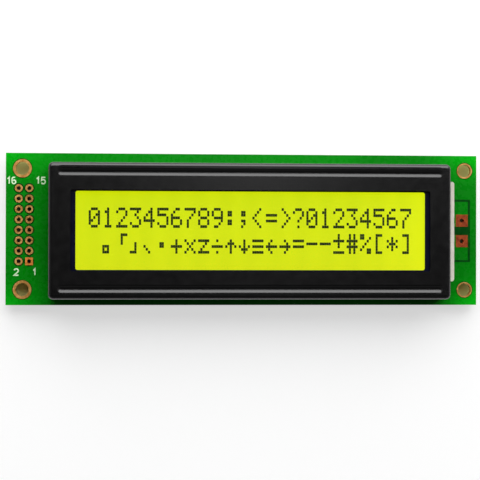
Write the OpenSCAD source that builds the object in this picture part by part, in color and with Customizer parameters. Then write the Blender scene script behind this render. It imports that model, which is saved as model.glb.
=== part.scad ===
// Character display module: a dot-matrix liquid crystal display of 24 by 2 characters, with its driver
// circuit on a printed circuit board, a pressed sheet-steel bezel and an LED array backlight.
// It lies on its back. +Z points out of the display, +X along it to the right and +Y up the display.
// The origin lies under the middle of the board, level with the tips of the bezel's twisted tabs.
// All sizes are in millimetres.

/* [Characters] */
// Number of characters in a line
columns = 24; // [20:1:40]
// Number of lines
lines = 2; // [1:1:4]
// Distance from one character to the next
character_pitch = 3.285; // [3.1:0.005:3.8]
// Distance from one line to the next
line_pitch = 6.2; // [5.7:0.05:7]
// Distance from one dot to the next, along the line
dot_pitch_x = 0.553; // [0.48:0.001:0.6]
// Distance from one dot to the next, up the character
dot_pitch_y = 0.7; // [0.55:0.01:0.76]
// Gap between neighbouring dots
dot_gap = 0.05; // [0.03:0.01:0.08]

/* [View and window] */
// Distance from the characters to the short sides of the lit view
view_margin_x = 3.115; // [1:0.005:6]
// Distance from the characters to the long sides of the lit view
view_margin_y = 3.925; // [1:0.005:6]
// Width of the dark border between the lit view and the window's short sides
mask_border_x = 1.2; // [0.3:0.1:2]
// Width of the dark border between the lit view and the window's long sides
mask_border_y = 0.3; // [0.2:0.05:1]
// Radius of the corners of the lit view and of the window
window_corner = 0.5; // [0.2:0.1:1]
// Distance by which the mask reaches under the bezel
mask_overlap = 1; // [0.5:0.1:1.4]
// Thickness of the mask film
mask_film = 0.08; // [0.05:0.01:0.12]

/* [Bezel] */
// Width of the bezel's frame at the short sides of the window
frame_x = 5.25; // [4.5:0.05:8]
// Width of the bezel's frame at the long sides of the window
frame_y = 6.675; // [6:0.005:8]
// Height of the bezel's front face above the board
bezel_height = 8.6; // [7.5:0.1:10]
// Thickness of the bezel's steel sheet
bezel_sheet = 0.5; // [0.4:0.05:0.6]
// Outer radius of the bend between the front face and the walls
bend_radius = 1; // [0.8:0.1:1.2]
// Radius of the bezel's four corners in plan
corner_radius = 1.2; // [1.1:0.1:2.2]
// Offset of the window from the middle of the bezel, along the board
window_shift_x = 0.05; // [-0.5:0.05:0.5]
// Offset of the window from the middle of the bezel, across the board
window_shift_y = 0.1; // [-0.2:0.01:0.2]

/* [Beads] */
// Width of a pressed bead at the front face
bead_width = 2; // [1.4:0.1:2.2]
// Depth of a bead below the front face
bead_depth = 0.5; // [0.35:0.05:0.6]
// Distance from the bezel's long walls to the centre lines of the beads
bead_inset_y = 2.425; // [2.2:0.005:2.8]
// Distance from the bezel's short walls to the ends of the beads
bead_inset_x = 2.1; // [1.8:0.1:12]

/* [Bezel tabs] */
// Number of twisted tabs on each long wall
tabs_per_wall = 4; // [2:1:6]
// Width of a tab
tab_width = 2.2; // [1.6:0.1:3]
// Depth of the tab tips below the board
tab_drop = 2; // [1.7:0.1:3]
// Angle by which the tabs are twisted behind the board
tab_twist = 40; // [20:5:60]
// Distance from the ends of the bezel to the outermost tabs
tab_inset = 8; // [5:0.5:20]
// Clearance between a tab and its slot in the board
tab_clearance = 0.1; // [0.05:0.05:0.2]

/* [Circuit board] */
// Thickness of the bare board
board_thickness = 1.6; // [1:0.1:2]
// Thickness of the copper on each face and in the plated holes
copper = 0.05; // [0.04:0.01:0.08]
// Distance from the left edge of the board to the bezel
header_end = 10.5; // [9:0.05:14]
// Distance from the bezel to the right edge of the board
supply_end = 8.1; // [7.5:0.05:14]
// Distance from the bezel to the upper edge of the board
upper_margin = 2.525; // [1.5:0.005:4]
// Distance from the lower edge of the board to the bezel
lower_margin = 1.625; // [1.2:0.005:4]

/* [Mounting holes] */
// Diameter of the plated mounting holes
mount_hole_d = 3.2; // [2.5:0.1:3.6]
// Distance from the left edge of the board to the left holes
mount_inset_left = 4; // [3.4:0.1:4.6]
// Distance from the right edge of the board to the right holes
mount_inset_right = 3; // [2.5:0.1:3.6]
// Distance from the long edges of the board to the holes
mount_inset_y = 3.75; // [3.2:0.05:4.2]
// Width of the copper land round the left holes
mount_land_left = 0.65; // [0.3:0.05:0.8]
// Width of the copper land round the right holes
mount_land_right = 0.3; // [0.2:0.05:0.5]

/* [Signal header] */
// Distance between neighbouring pin holes
pin_pitch = 2.54; // [2.2:0.01:2.8]
// Number of pin rows, with two holes in each
pin_rows = 8; // [2:1:8]
// Diameter of the plated pin holes
pin_hole_d = 1; // [0.8:0.05:1.2]
// Width of the copper land round a pin hole
pin_land = 0.45; // [0.3:0.05:0.6]
// Distance from the left edge of the board to the middle of the header
header_inset = 4.4; // [3.9:0.1:5]
// Height of the middle of the header above the middle of the board
header_y = 1.05; // [0:0.05:1.2]

/* [Backlight supply] */
// Distance between the two supply holes
supply_pitch = 5.08; // [4.5:0.01:6]
// Diameter of the plated supply holes
supply_hole_d = 1; // [0.8:0.05:1.2]
// Side of the square copper land of a supply hole
supply_pad = 3; // [2:0.1:3.6]
// Distance from the right edge of the board to the supply holes
supply_inset = 3.65; // [2.5:0.05:4]
// Height of the middle of the supply pair above the middle of the board
supply_y = -0.13; // [-1:0.01:1]

/* [Liquid crystal cell] */
// Thickness of the front glass
front_glass_t = 1.1; // [0.7:0.1:1.3]
// Thickness of the rear glass
rear_glass_t = 1.1; // [0.7:0.1:1.3]
// Distance between the two glasses
cell_gap = 0.05; // [0.03:0.01:0.08]
// Thickness of each polarizer film
polarizer_t = 0.2; // [0.15:0.01:0.25]
// Clearance between the front glass and the bezel's walls
glass_clearance = 0.45; // [0.3:0.05:0.6]
// Clearance between the rear glass and the elastomer strips
strip_clearance = 0.35; // [0.2:0.05:0.6]
// Distance by which the front polarizer reaches under the bezel
front_film_reach = 1.6; // [1.4:0.1:2]
// Distance by which the rear polarizer reaches past the lit view
rear_film_reach = 1.6; // [1.4:0.1:2]
// Width of the seal between the two glasses
seal_width = 1.4; // [0.8:0.1:1.8]
// Distance from the edge of the rear glass to the seal
seal_inset = 0.4; // [0.2:0.1:0.8]
// Width of the filling port at the left end of the cell
port_width = 3; // [2:0.1:5]
// Distance by which the plug covers the glass on each side of the port
plug_overlap = 0.5; // [0.3:0.1:1]
// Clearance between the plug and the bezel's wall
plug_clearance = 0.1; // [0.05:0.05:0.2]

/* [Elastomer strips] */
// Width of the strips that join the glass to the board
strip_width = 1.9; // [1.4:0.1:2.2]
// Distance from the short sides of the glass to the ends of the strips
strip_inset = 2.3; // [1:0.1:6]
// Distance from one board contact to the next
contact_pitch = 1.3; // [1.1:0.05:2]
// Width of a board contact
contact_width = 0.65; // [0.4:0.05:0.8]
// Distance by which the contacts reach past each side of a strip
contact_reach = 0.25; // [0:0.05:0.3]

/* [Backlight] */
// Distance by which the light well reaches past the lit view
well_margin = 0.4; // [0.1:0.1:0.6]
// Width of the housing from the light well to its long outer sides
housing_rim = 2.35; // [2.05:0.05:2.6]
// Distance by which the housing stands out of the bezel's right wall
backlight_overhang = 1.45; // [1.2:0.05:2.5]
// Clearance between the housing and the bezel
backlight_clearance = 0.3; // [0.15:0.05:0.5]
// Thickness of the housing's side walls round the LED board
housing_wall = 0.8; // [0.5:0.1:1]
// Radius of the housing's corners in plan
housing_corner = 0.6; // [0.3:0.1:1]
// Width of the diffuser's seat round the light well
diffuser_seat = 1; // [0.6:0.1:1.3]
// Thickness of the diffuser
diffuser_t = 0.5; // [0.3:0.1:1]
// Clearance round the diffuser and the LED board in the housing
part_clearance = 0.1; // [0.05:0.05:0.2]
// Thickness of the LED board
led_board_t = 0.8; // [0.6:0.1:1]
// Number of LEDs along the backlight
led_columns = 14; // [4:1:20]
// Number of LED rows
led_rows = 2; // [1:1:3]
// Length of an LED
led_length = 2; // [1.6:0.1:3]
// Width of an LED
led_width = 1.25; // [1:0.05:1.6]
// Height of an LED's body
led_height = 0.7; // [0.5:0.1:1]
// Diameter of an LED's lens
led_lens_d = 0.9; // [0.6:0.1:0.95]
// Height of the lens above the LED's body
led_lens_height = 0.15; // [0.1:0.05:0.3]

/* [Backlight pins] */
// Diameter of the pins that feed the backlight
feed_pin_d = 0.6; // [0.5:0.05:0.7]
// Clearance between a pin and its holes
feed_pin_clearance = 0.1; // [0.05:0.05:0.15]
// Distance from the right end of the LED board to the pins
feed_pin_inset = 0.75; // [0.65:0.05:1]
// Distance by which a pin stands out of its boards
feed_pin_reach = 1; // [0.8:0.1:1.2]
// Height of a solder cone
joint_height = 0.7; // [0.4:0.1:0.8]
// Diameter of a solder cone at the board
joint_d = 1.4; // [1.2:0.1:1.6]

/* [Rear parts] */
// Diameter of the epoxy cover over the controller chip
controller_d = 15; // [10:0.5:17]
// Diameter of the epoxy covers over the driver chips
driver_d = 12.5; // [8:0.5:15]
// Height of the epoxy covers
cover_height = 1.3; // [0.8:0.1:1.6]
// Distance from the short edges of the board to the middles of the outer chips
chip_inset = 29; // [25:0.5:33]
// Length of a small chip resistor or capacitor
small_chip_length = 2; // [1.6:0.1:2.4]
// Width of a small chip resistor or capacitor
small_chip_width = 1.25; // [0.8:0.05:1.6]
// Length of a large chip resistor
large_chip_length = 3.2; // [2.6:0.1:3.6]
// Width of a large chip resistor
large_chip_width = 1.6; // [1.2:0.1:2]
// Height of a chip resistor
resistor_height = 0.5; // [0.4:0.05:0.7]
// Height of a chip capacitor
capacitor_height = 0.8; // [0.6:0.1:1.2]
// Length of the metal cap on each end of a chip part
chip_cap = 0.4; // [0.25:0.05:0.5]
// Distance between neighbouring chip parts
chip_spacing = 3; // [2.4:0.1:3.4]
// Number of resistors in the bias divider
bias_count = 5; // [3:1:5]
// Number of supply capacitors
capacitor_count = 3; // [1:1:5]

/* [Hidden] */
$fn = 48;
// Facets of a wide shallow arc
fine = 360;
// Distance by which a cutting body passes the face that it cuts
pass = 0.1;
// Facets of an LED's lens, and steps in a tab's twist
lens_sides = 12;
twist_steps = 8;

// Levels, from the rear upwards
board_back = tab_drop;
board_front = board_back + board_thickness;
bezel_front = board_front + bezel_height;
front_glass_top = bezel_front - bezel_sheet - bead_depth;
front_glass_bottom = front_glass_top - front_glass_t;
rear_glass_top = front_glass_bottom - cell_gap;
rear_glass_bottom = rear_glass_top - rear_glass_t;
backlight_top = rear_glass_bottom - polarizer_t;
led_board_top = board_front + led_board_t;

// The field of characters, and outwards from it the lit view, the window, the bezel and the board
cell_width = 5 * dot_pitch_x - dot_gap;
cell_height = 8 * dot_pitch_y - dot_gap;
glyph_height = 7 * dot_pitch_y - dot_gap;
view_length = (columns - 1) * character_pitch + cell_width + 2 * view_margin_x;
view_width = (lines - 1) * line_pitch + glyph_height + 2 * view_margin_y;
window_length = view_length + 2 * mask_border_x;
window_width = view_width + 2 * mask_border_y;
bezel_length = window_length + 2 * frame_x;
bezel_width = window_width + 2 * frame_y;
board_length = bezel_length + header_end + supply_end;
board_width = bezel_width + upper_margin + lower_margin;

// Middles of the bezel and of the display, and the bezel's ends
bezel_x = (header_end - supply_end) / 2;
bezel_y = (lower_margin - upper_margin) / 2;
display_x = bezel_x + window_shift_x;
display_y = bezel_y + window_shift_y;
bezel_left = bezel_x - bezel_length / 2;
bezel_right = bezel_x + bezel_length / 2;

// Board features
mount_left = -board_length / 2 + mount_inset_left;
mount_right = board_length / 2 - mount_inset_right;
mount_y = board_width / 2 - mount_inset_y;
header_x = -board_length / 2 + header_inset;
supply_x = board_length / 2 - supply_inset;

// Bezel
corner_x = bezel_length / 2 - corner_radius;
corner_y = bezel_width / 2 - corner_radius;
wall_y = bezel_width / 2 - bezel_sheet / 2;
tab_run = bezel_length - 2 * tab_inset;
tab_pitch = tab_run / (tabs_per_wall - 1);
bead_spacing = bezel_width - 2 * bead_inset_y;
bead_length = bezel_length - 2 * bead_inset_x;
bead_radius = (bead_width * bead_width / 4 + bead_depth * bead_depth) / (2 * bead_depth);
bead_axis = bead_radius - bead_depth;

// Glasses and strips
front_glass_length = bezel_length - 2 * bezel_sheet - 2 * glass_clearance;
front_glass_width = bezel_width - 2 * bezel_sheet - 2 * glass_clearance;
rear_glass_width = bead_spacing - strip_width - 2 * strip_clearance;
strip_length = front_glass_length - 2 * strip_inset;
contact_count = floor(strip_length / contact_pitch) - 1;

// Backlight
well_length = view_length + 2 * well_margin;
well_width = view_width + 2 * well_margin;
seat_length = well_length + 2 * diffuser_seat;
seat_width = well_width + 2 * diffuser_seat;
backlight_width = well_width + 2 * housing_rim;
housing_left = bezel_left + bezel_sheet + backlight_clearance;
housing_right = bezel_right + backlight_overhang;
housing_length = housing_right - housing_left;
housing_x = (housing_left + housing_right) / 2;
led_board_length = housing_length - 2 * housing_wall;
led_board_width = backlight_width - 2 * housing_wall;
feed_pin_x = housing_right - housing_wall - feed_pin_inset;
cavity_length = joint_d + 2 * part_clearance;

// Places of the two wires of the backlight, across the board, and of the three chips along it
supply_places = [supply_y - supply_pitch / 2, supply_y + supply_pitch / 2];
chip_x = board_length / 2 - chip_inset;

// A rectangle about its middle, with its corners rounded
module rounded_rectangle(length, width, radius) {
    square([length - 2 * radius, width], center = true);
    square([length, width - 2 * radius], center = true);
    for (x = [-1, 1], y = [-1, 1])
        translate([x * (length / 2 - radius), y * (width / 2 - radius)]) circle(radius);
}

// A rectangular plate about its middle, from one level up
module plate(length, width, thickness, x = 0, y = 0, z = 0) {
    translate([x - length / 2, y - width / 2, z]) cube([length, width, thickness]);
}

// What is repeated at each mounting hole, with the width of its copper land in $land
module at_mounting_holes() {
    for (y = [-mount_y, mount_y]) {
        translate([mount_left, y]) {
            $land = mount_land_left;
            children();
        }
        translate([mount_right, y]) {
            $land = mount_land_right;
            children();
        }
    }
}

// What is repeated at each header hole, with $pin_one true at the first pin only
module at_header_holes() {
    for (row = [0:pin_rows - 1], side = [-1, 1])
        translate([header_x + side * pin_pitch / 2, header_y + (row - (pin_rows - 1) / 2) * pin_pitch]) {
            $pin_one = row == 0 && side == 1;
            children();
        }
}

module at_supply_holes() {
    for (y = supply_places) translate([supply_x, y]) children();
}

module at_feed_pins() {
    for (y = supply_places) translate([feed_pin_x, y]) children();
}

// What is repeated at each tab, along the lower long wall and turned round to the upper one
module at_tabs() {
    translate([bezel_x, bezel_y])
        for (turn = [0, 180], i = [0:tabs_per_wall - 1])
            rotate(turn) translate([i * tab_pitch - tab_run / 2, -wall_y]) children();
}

// Copper lands on both faces of the board, with the barrel that joins them
module plated_hole(hole_d, land) {
    translate([0, 0, board_back])
        rotate_extrude() {
            translate([hole_d / 2, -copper]) square([copper, board_thickness + 2 * copper]);
            translate([hole_d / 2, -copper]) square([land, copper]);
            translate([hole_d / 2, board_thickness]) square([land, copper]);
        }
}

module square_plated_hole(hole_d, side) {
    plated_hole(hole_d, 2 * copper);
    for (z = [board_back - copper, board_front])
        translate([0, 0, z]) linear_extrude(copper) difference() {
            square(side, center = true);
            circle(d = hole_d);
        }
}

module circuit_board() {
    color("green") translate([0, 0, board_back]) linear_extrude(board_thickness) difference() {
        square([board_length, board_width], center = true);
        at_mounting_holes() circle(d = mount_hole_d + 2 * copper);
        at_header_holes() circle(d = pin_hole_d + 2 * copper);
        at_supply_holes() circle(d = supply_hole_d + 2 * copper);
        at_feed_pins() circle(d = feed_pin_d + 2 * feed_pin_clearance);
        at_tabs() square([tab_width + 2 * tab_clearance, bezel_sheet + 2 * tab_clearance], center = true);
    }
}

module mounting_hole_rings() {
    color("peru") at_mounting_holes() plated_hole(mount_hole_d, $land);
}

module header_pads() {
    color("peru") at_header_holes()
        if ($pin_one) square_plated_hole(pin_hole_d, pin_hole_d + 2 * pin_land);
        else plated_hole(pin_hole_d, pin_land);
}

module supply_pads() {
    color("sienna") at_supply_holes() square_plated_hole(supply_hole_d, supply_pad);
}

// A row of copper contacts under one elastomer strip
module contact_row(side) {
    for (i = [0:contact_count - 1])
        plate(contact_width, strip_width + 2 * contact_reach, copper,
            display_x + (i - (contact_count - 1) / 2) * contact_pitch,
            display_y + side * bead_spacing / 2, board_front);
}

module upper_contacts() {
    color("gold") contact_row(1);
}

module lower_contacts() {
    color("gold") contact_row(-1);
}

// Section of the bezel's rim, from a corner's axis out to the wall and down to the board
module rim_profile() {
    translate([0, bezel_height - bezel_sheet]) square([corner_radius - bend_radius, bezel_sheet]);
    translate([corner_radius - bend_radius, bezel_height - bend_radius]) intersection() {
        difference() {
            circle(bend_radius);
            circle(bend_radius - bezel_sheet);
        }
        square(bend_radius);
    }
    translate([corner_radius - bezel_sheet, 0]) square([bezel_sheet, bezel_height - bend_radius]);
}

// A straight side of the rim, along X with its wall towards +Y
module rim_side(length) {
    rotate([90, 0, 90]) linear_extrude(length, center = true) rim_profile();
}

// Half section of a bead: a round groove of the given radius, cut off at the given level
module bead_profile(radius, level) {
    intersection() {
        translate([0, bead_axis]) circle(radius);
        translate([0, level - 2 * radius]) square([radius, 2 * radius]);
    }
}

// A bead's solid along X, with round ends, from a radius and a level above the front face
module bead_solid(radius, level) {
    run = bead_length - bead_width;
    rotate([90, 0, 90]) linear_extrude(run, center = true) {
        bead_profile(radius, level);
        mirror([1, 0]) bead_profile(radius, level);
    }
    for (turn = [0, 180])
        rotate(turn) translate([run / 2, 0]) rotate(-90)
            rotate_extrude(angle = 180) bead_profile(radius, level);
}

// What is repeated at each bead's middle, on the bezel's front face
module at_beads() {
    for (side = [-1, 1])
        translate([display_x, display_y + side * bead_spacing / 2, bezel_front]) children();
}

// A tab that passes through the board and is twisted behind it
module tab() {
    plate(tab_width, bezel_sheet, board_thickness, z = board_back);
    translate([0, 0, board_back]) mirror([0, 0, 1])
        linear_extrude(tab_drop, twist = -tab_twist, slices = twist_steps, segments = 4)
            square([tab_width, bezel_sheet], center = true);
}

module front_bezel() {
    color([0.1, 0.1, 0.1]) {
        difference() {
            union() {
                translate([bezel_x, bezel_y, board_front]) {
                    for (turn = [0, 180]) rotate(turn) {
                        translate([0, corner_y]) rim_side(2 * corner_x);
                        rotate(-90) translate([0, corner_x]) rim_side(2 * corner_y);
                        translate([corner_x, corner_y]) rotate_extrude(angle = 90) rim_profile();
                        translate([-corner_x, corner_y]) rotate(90) rotate_extrude(angle = 90) rim_profile();
                    }
                    plate(2 * corner_x, 2 * corner_y, bezel_sheet, z = bezel_height - bezel_sheet);
                }
                at_beads() bead_solid(bead_radius + bezel_sheet, 0);
            }
            at_beads() bead_solid(bead_radius, pass);
            translate([display_x, display_y, bezel_front - bezel_sheet - pass])
                linear_extrude(bezel_sheet + 2 * pass)
                    rounded_rectangle(window_length, window_width, window_corner);
            plate(2 * bezel_sheet + 2 * pass, backlight_width + 2 * backlight_clearance,
                backlight_top + backlight_clearance - board_front + pass,
                bezel_right - bezel_sheet, display_y, board_front - pass);
        }
        at_tabs() tab();
    }
}

module window_mask() {
    color("black") translate([display_x, display_y, front_glass_top + polarizer_t])
        linear_extrude(mask_film) difference() {
            square([window_length + 2 * mask_overlap, window_width + 2 * mask_overlap], center = true);
            rounded_rectangle(view_length, view_width, window_corner);
        }
}

module front_polarizer() {
    color("yellowgreen", 0.3)
        plate(window_length + 2 * front_film_reach, window_width + 2 * front_film_reach, polarizer_t,
            display_x, display_y, front_glass_top);
}

module front_glass() {
    color("lightcyan", 0.3)
        plate(front_glass_length, front_glass_width, front_glass_t, bezel_x, bezel_y, front_glass_bottom);
}

// The seal runs round the rear glass, with the filling port left open at its left end
module cell_seal() {
    outer_length = front_glass_length - 2 * seal_inset;
    outer_width = rear_glass_width - 2 * seal_inset;
    color("gainsboro") translate([0, 0, rear_glass_top]) linear_extrude(cell_gap) difference() {
        translate([bezel_x, display_y]) square([outer_length, outer_width], center = true);
        translate([bezel_x, display_y])
            square([outer_length - 2 * seal_width, outer_width - 2 * seal_width], center = true);
        translate([bezel_x - outer_length / 2, display_y])
            square([2 * seal_width + pass, port_width], center = true);
    }
}

// A drop of adhesive on the glass edge that closes the filling port
module fill_port_plug() {
    bulge = glass_clearance - plug_clearance;
    chord = port_width + 2 * plug_overlap;
    radius = (chord * chord / 4 + bulge * bulge) / (2 * bulge);
    edge = bezel_x - front_glass_length / 2;
    bottom = rear_glass_bottom + plug_overlap;
    color("khaki") translate([0, 0, bottom])
        linear_extrude(front_glass_top - plug_overlap - bottom) intersection() {
            translate([edge - bulge + radius, display_y]) circle(radius, $fn = fine);
            translate([edge - bulge, display_y - chord / 2]) square([bulge, chord]);
        }
}

// The fields of liquid crystal that the electrodes drive, one for each character
module character_cells() {
    color("olivedrab") for (line = [0:lines - 1], column = [0:columns - 1])
        plate(cell_width, cell_height, cell_gap,
            display_x + (column - (columns - 1) / 2) * character_pitch,
            display_y + (lines - 1) * line_pitch / 2 + glyph_height / 2 - cell_height / 2 - line * line_pitch,
            rear_glass_top);
}

module rear_glass() {
    color("lightcyan", 0.3)
        plate(front_glass_length, rear_glass_width, rear_glass_t, bezel_x, display_y, rear_glass_bottom);
}

module rear_polarizer() {
    color("yellowgreen")
        plate(view_length + 2 * rear_film_reach, view_width + 2 * rear_film_reach, polarizer_t,
            display_x, display_y, backlight_top);
}

module elastomer_strip(side) {
    plate(strip_length, strip_width, front_glass_bottom - board_front - copper,
        display_x, display_y + side * bead_spacing / 2, board_front + copper);
}

module upper_elastomer_strip() {
    color("dimgray") elastomer_strip(1);
}

module lower_elastomer_strip() {
    color("dimgray") elastomer_strip(-1);
}

module backlight_housing() {
    color("white") difference() {
        translate([housing_x, display_y, board_front]) linear_extrude(backlight_top - board_front)
            rounded_rectangle(housing_length, backlight_width, housing_corner);
        plate(led_board_length + 2 * part_clearance, led_board_width + 2 * part_clearance, led_board_t + pass,
            housing_x, display_y, board_front - pass);
        plate(well_length, well_width, backlight_top - board_front, display_x, display_y, board_front);
        plate(seat_length, seat_width, diffuser_t + pass, display_x, display_y, backlight_top - diffuser_t);
        plate(cavity_length, supply_pitch + cavity_length, feed_pin_reach + part_clearance + pass,
            feed_pin_x, supply_y, led_board_top - pass);
    }
}

module backlight_diffuser() {
    color("honeydew")
        plate(seat_length - 2 * part_clearance, seat_width - 2 * part_clearance, diffuser_t,
            display_x, display_y, backlight_top - diffuser_t);
}

module backlight_board() {
    color("ivory") translate([0, 0, board_front]) linear_extrude(led_board_t) difference() {
        translate([housing_x, display_y]) square([led_board_length, led_board_width], center = true);
        at_feed_pins() circle(d = feed_pin_d + 2 * feed_pin_clearance);
    }
}

module led() {
    plate(led_length, led_width, led_height);
    cylinder(h = led_height + led_lens_height, d = led_lens_d, $fn = lens_sides);
}

module backlight_leds() {
    color("yellow") for (row = [0:led_rows - 1], column = [0:led_columns - 1])
        translate([display_x + (column + 0.5 - led_columns / 2) * well_length / led_columns,
            display_y + (row + 0.5 - led_rows / 2) * well_width / led_rows, led_board_top]) led();
}

module backlight_pins() {
    color("silver") at_feed_pins() translate([0, 0, board_back - feed_pin_reach])
        cylinder(h = board_thickness + led_board_t + 2 * feed_pin_reach, d = feed_pin_d);
}

// A cone of solder round a pin, standing on a board's face
module solder_joint() {
    difference() {
        cylinder(h = joint_height, d1 = joint_d, d2 = feed_pin_d + 2 * feed_pin_clearance);
        translate([0, 0, -pass]) cylinder(h = joint_height + 2 * pass, d = feed_pin_d);
    }
}

module pin_solder_joints() {
    color("lightgray") at_feed_pins() {
        translate([0, 0, led_board_top]) solder_joint();
        translate([0, 0, board_back]) mirror([0, 0, 1]) solder_joint();
    }
}

// A cap of black epoxy over a bonded chip, hanging from the rear of the board as part of a ball
module epoxy_cover(diameter) {
    radius = (diameter * diameter / 4 + cover_height * cover_height) / (2 * cover_height);
    translate([0, 0, board_back]) rotate_extrude() intersection() {
        translate([0, radius - cover_height]) circle(radius, $fn = fine);
        translate([0, -cover_height]) square([diameter / 2, cover_height]);
    }
}

module controller_cover() {
    color([0.12, 0.12, 0.12]) translate([-chip_x, 0]) epoxy_cover(controller_d);
}

module segment_driver_cover() {
    color([0.12, 0.12, 0.12]) epoxy_cover(driver_d);
}

module end_driver_cover() {
    color([0.12, 0.12, 0.12]) translate([chip_x, 0]) epoxy_cover(driver_d);
}

// The body of a chip part between its end caps, hanging from the rear of the board
module chip_body(length, width, height) {
    plate(length - 2 * chip_cap, width, height, z = board_back - height);
}

module chip_caps(length, width, height) {
    for (end = [-1, 1])
        plate(chip_cap, width, height, x = end * (length - chip_cap) / 2, z = board_back - height);
}

// Places of the chip parts, between the epoxy covers
module at_bias_resistors() {
    for (i = [0:bias_count - 1])
        translate([-chip_x / 2, (i - (bias_count - 1) / 2) * chip_spacing]) children();
}

module at_oscillator_resistor() {
    translate([-chip_x, -controller_d / 2 - chip_spacing]) children();
}

module at_backlight_resistors() {
    for (y = supply_places) translate([feed_pin_x - 2 * chip_spacing, y]) children();
}

module at_supply_capacitors() {
    for (i = [0:capacitor_count - 1])
        translate([chip_x / 2, (i - (capacitor_count - 1) / 2) * chip_spacing]) children();
}

module bias_resistors() {
    color("dimgray") at_bias_resistors() chip_body(small_chip_length, small_chip_width, resistor_height);
}

module oscillator_resistor() {
    color("dimgray") at_oscillator_resistor() chip_body(small_chip_length, small_chip_width, resistor_height);
}

module backlight_resistors() {
    color("dimgray") at_backlight_resistors() chip_body(large_chip_length, large_chip_width, resistor_height);
}

module supply_capacitors() {
    color("tan") at_supply_capacitors() chip_body(small_chip_length, small_chip_width, capacitor_height);
}

module chip_end_caps() {
    color("silver") {
        at_bias_resistors() chip_caps(small_chip_length, small_chip_width, resistor_height);
        at_oscillator_resistor() chip_caps(small_chip_length, small_chip_width, resistor_height);
        at_backlight_resistors() chip_caps(large_chip_length, large_chip_width, resistor_height);
        at_supply_capacitors() chip_caps(small_chip_length, small_chip_width, capacitor_height);
    }
}

circuit_board();
mounting_hole_rings();
header_pads();
supply_pads();
upper_contacts();
lower_contacts();
front_bezel();
window_mask();
front_polarizer();
front_glass();
cell_seal();
fill_port_plug();
character_cells();
rear_glass();
rear_polarizer();
upper_elastomer_strip();
lower_elastomer_strip();
backlight_housing();
backlight_diffuser();
backlight_board();
backlight_leds();
backlight_pins();
pin_solder_joints();
controller_cover();
segment_driver_cover();
end_driver_cover();
bias_resistors();
oscillator_resistor();
backlight_resistors();
supply_capacitors();
chip_end_caps();
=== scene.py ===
# %% [markdown]
# # A character display module, dressed in Blender
# The real object is a liquid crystal display of 24 by 2 characters. Its glass cell sits in a black steel bezel,
# clamped on a green circuit board, and a white backlight housing shows at one end.
# The shapes come from the CAD model. This lesson adds what the CAD model doesn't hold: the finishes, the lit
# field and its dots, the printed numbers, the copper under the green mask and the solder.
# We load the CAD model first.

# %% Load the frame
import math

import bmesh
import bpy
from mathutils import Matrix, Vector


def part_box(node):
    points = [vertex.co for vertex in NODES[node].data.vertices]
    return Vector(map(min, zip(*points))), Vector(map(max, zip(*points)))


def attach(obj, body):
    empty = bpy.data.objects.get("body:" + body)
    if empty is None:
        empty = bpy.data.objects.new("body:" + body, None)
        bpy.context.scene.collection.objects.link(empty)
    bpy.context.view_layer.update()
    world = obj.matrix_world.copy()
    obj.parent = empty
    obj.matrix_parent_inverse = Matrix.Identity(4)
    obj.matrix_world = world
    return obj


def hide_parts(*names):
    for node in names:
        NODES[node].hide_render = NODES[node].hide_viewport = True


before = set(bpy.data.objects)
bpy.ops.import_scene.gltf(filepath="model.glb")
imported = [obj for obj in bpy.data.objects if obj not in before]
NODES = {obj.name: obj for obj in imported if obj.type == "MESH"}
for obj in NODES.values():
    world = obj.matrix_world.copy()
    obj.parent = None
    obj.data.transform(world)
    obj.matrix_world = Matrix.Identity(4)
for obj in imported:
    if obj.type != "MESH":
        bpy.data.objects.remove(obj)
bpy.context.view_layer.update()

MM = 0.001

# %% [markdown]
# ## Finding the parts inside a node
# One CAD node can hold many separate solids, such as the sixteen lands of the header. The imported mesh splits
# its vertices where the shading is sharp, so we join them by position before we follow the faces from solid to
# solid. Each solid's box then tells us where to put the dots, the fillets and the print, with no number copied
# from the CAD source.

# %% Boxes of the solids in a node
def solids_of(name):
    """The (lowest corner, highest corner) of each separate solid of a CAD node, in metres."""
    mesh = NODES[name].data
    keys, parent = {}, []
    index = []
    for v in mesh.vertices:
        key = tuple(round(c * 1e7) for c in v.co)
        if key not in keys:
            keys[key] = len(parent)
            parent.append(len(parent))
        index.append(keys[key])

    def root(i):
        while parent[i] != i:
            parent[i] = parent[parent[i]]
            i = parent[i]
        return i

    for polygon in mesh.polygons:
        first = root(index[polygon.vertices[0]])
        for v in polygon.vertices[1:]:
            parent[root(index[v])] = first
    boxes = {}
    for v, i in zip(mesh.vertices, index):
        lo, hi = boxes.setdefault(root(i), (Vector(v.co), Vector(v.co)))
        for axis in range(3):
            lo[axis] = min(lo[axis], v.co[axis])
            hi[axis] = max(hi[axis], v.co[axis])
    return sorted(boxes.values(), key=lambda b: (round(b[0].y, 6), round(b[0].x, 6)))


board_low, board_high = (Vector(c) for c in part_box("circuit_board"))
header_lands = solids_of("header_pads")
mount_rings = solids_of("mounting_hole_rings")
supply_lands = solids_of("supply_pads")
cells = solids_of("character_cells")
print(len(header_lands), "header lands,", len(mount_rings), "mounting rings,", len(cells), "character cells")

# %% [markdown]
# ## A kit for finishes
# Most of the finishes here share one recipe. Noise in the object's own coordinates drifts the colour and the
# roughness a little, and a finer noise lifts the surface by a few micrometres. Real paint, plastic and metal all
# do this, and a surface without it looks like a computer's. Object coordinates keep the pattern at one size on
# every piece, whatever the piece's own size is. The helpers below each make one or two nodes, so that a finish
# reads like a sentence.

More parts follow.
